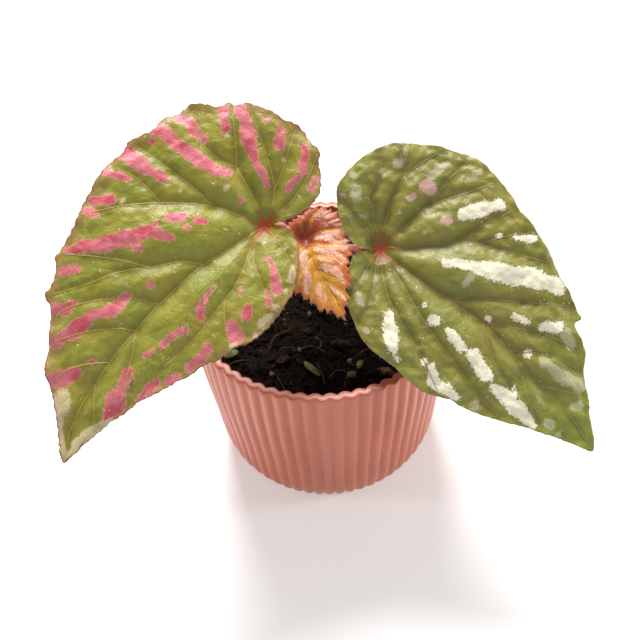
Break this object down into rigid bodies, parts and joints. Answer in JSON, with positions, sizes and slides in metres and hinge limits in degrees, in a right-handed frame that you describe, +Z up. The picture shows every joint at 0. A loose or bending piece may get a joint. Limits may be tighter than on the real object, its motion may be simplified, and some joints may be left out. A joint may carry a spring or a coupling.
{
  "type": "potted begonia",
  "caption": "Young begonia with broad asymmetric blotched leaves and a small new leaf, in a fluted round plastic pot of dark potting mix.",
  "frame": {"origin": "centre of the pot's flat base", "axes": "+Z up along the pot's axis, -Y towards the side the leaves lean to, X across the two broad leaves"},
  "size_m": [0.1763, 0.1207, 0.1533],
  "materials": {
    "pot_plastic": "salmon terracotta-coloured plastic, satin, fluted",
    "potting_mix": "dark crumbly peat mix with fibres",
    "left_blade": "olive-green leaf with pink blotches, yellow veins and a red junction, satin",
    "right_blade": "grey-green leaf with cream blotches, satin",
    "young_blade": "orange-yellow new leaf with pale pink stripes and terracotta lobes",
    "leaf_stalk": "hairy red leaf stalk",
    "stem": "brown-green jointed stem",
    "sheath": "thin dry papery sheath",
    "bark": "rough composted bark",
    "twig": "dry twig",
    "perlite": "rough pale mineral lump",
    "seedling": "small fresh green leaf"
  },
  "bodies": {
    "root": {"pot": "pot_plastic", "potting_mix": "potting_mix", "stem": "stem", "left_leaf_stalk": "leaf_stalk", "left_leaf_blade": "left_blade", "right_leaf_stalk": "leaf_stalk", "right_leaf_blade": "right_blade", "young_leaf_stalk": "leaf_stalk", "young_leaf_blade": "young_blade", "tip_bud": "young_blade", "left_sheath": "sheath", "right_sheath": "sheath", "bark_chip_1": "bark", "bark_chip_2": "bark", "bark_chip_3": "bark", "bark_chip_4": "bark", "bark_chip_5": "bark", "bark_chip_6": "bark", "bark_chip_7": "bark", "bark_chip_8": "bark", "perlite_1": "perlite", "perlite_2": "perlite", "perlite_3": "perlite", "perlite_4": "perlite", "perlite_5": "perlite", "seedling_leaf_1": "seedling", "seedling_leaf_2": "seedling", "seedling_leaf_3": "seedling", "seedling_leaf_4": "seedling", "twig_1": "twig", "twig_2": "twig", "twig_3": "twig", "twig_4": "twig", "twig_5": "twig", "twig_6": "twig", "twig_7": "twig"}
  },
  "joints": []
}
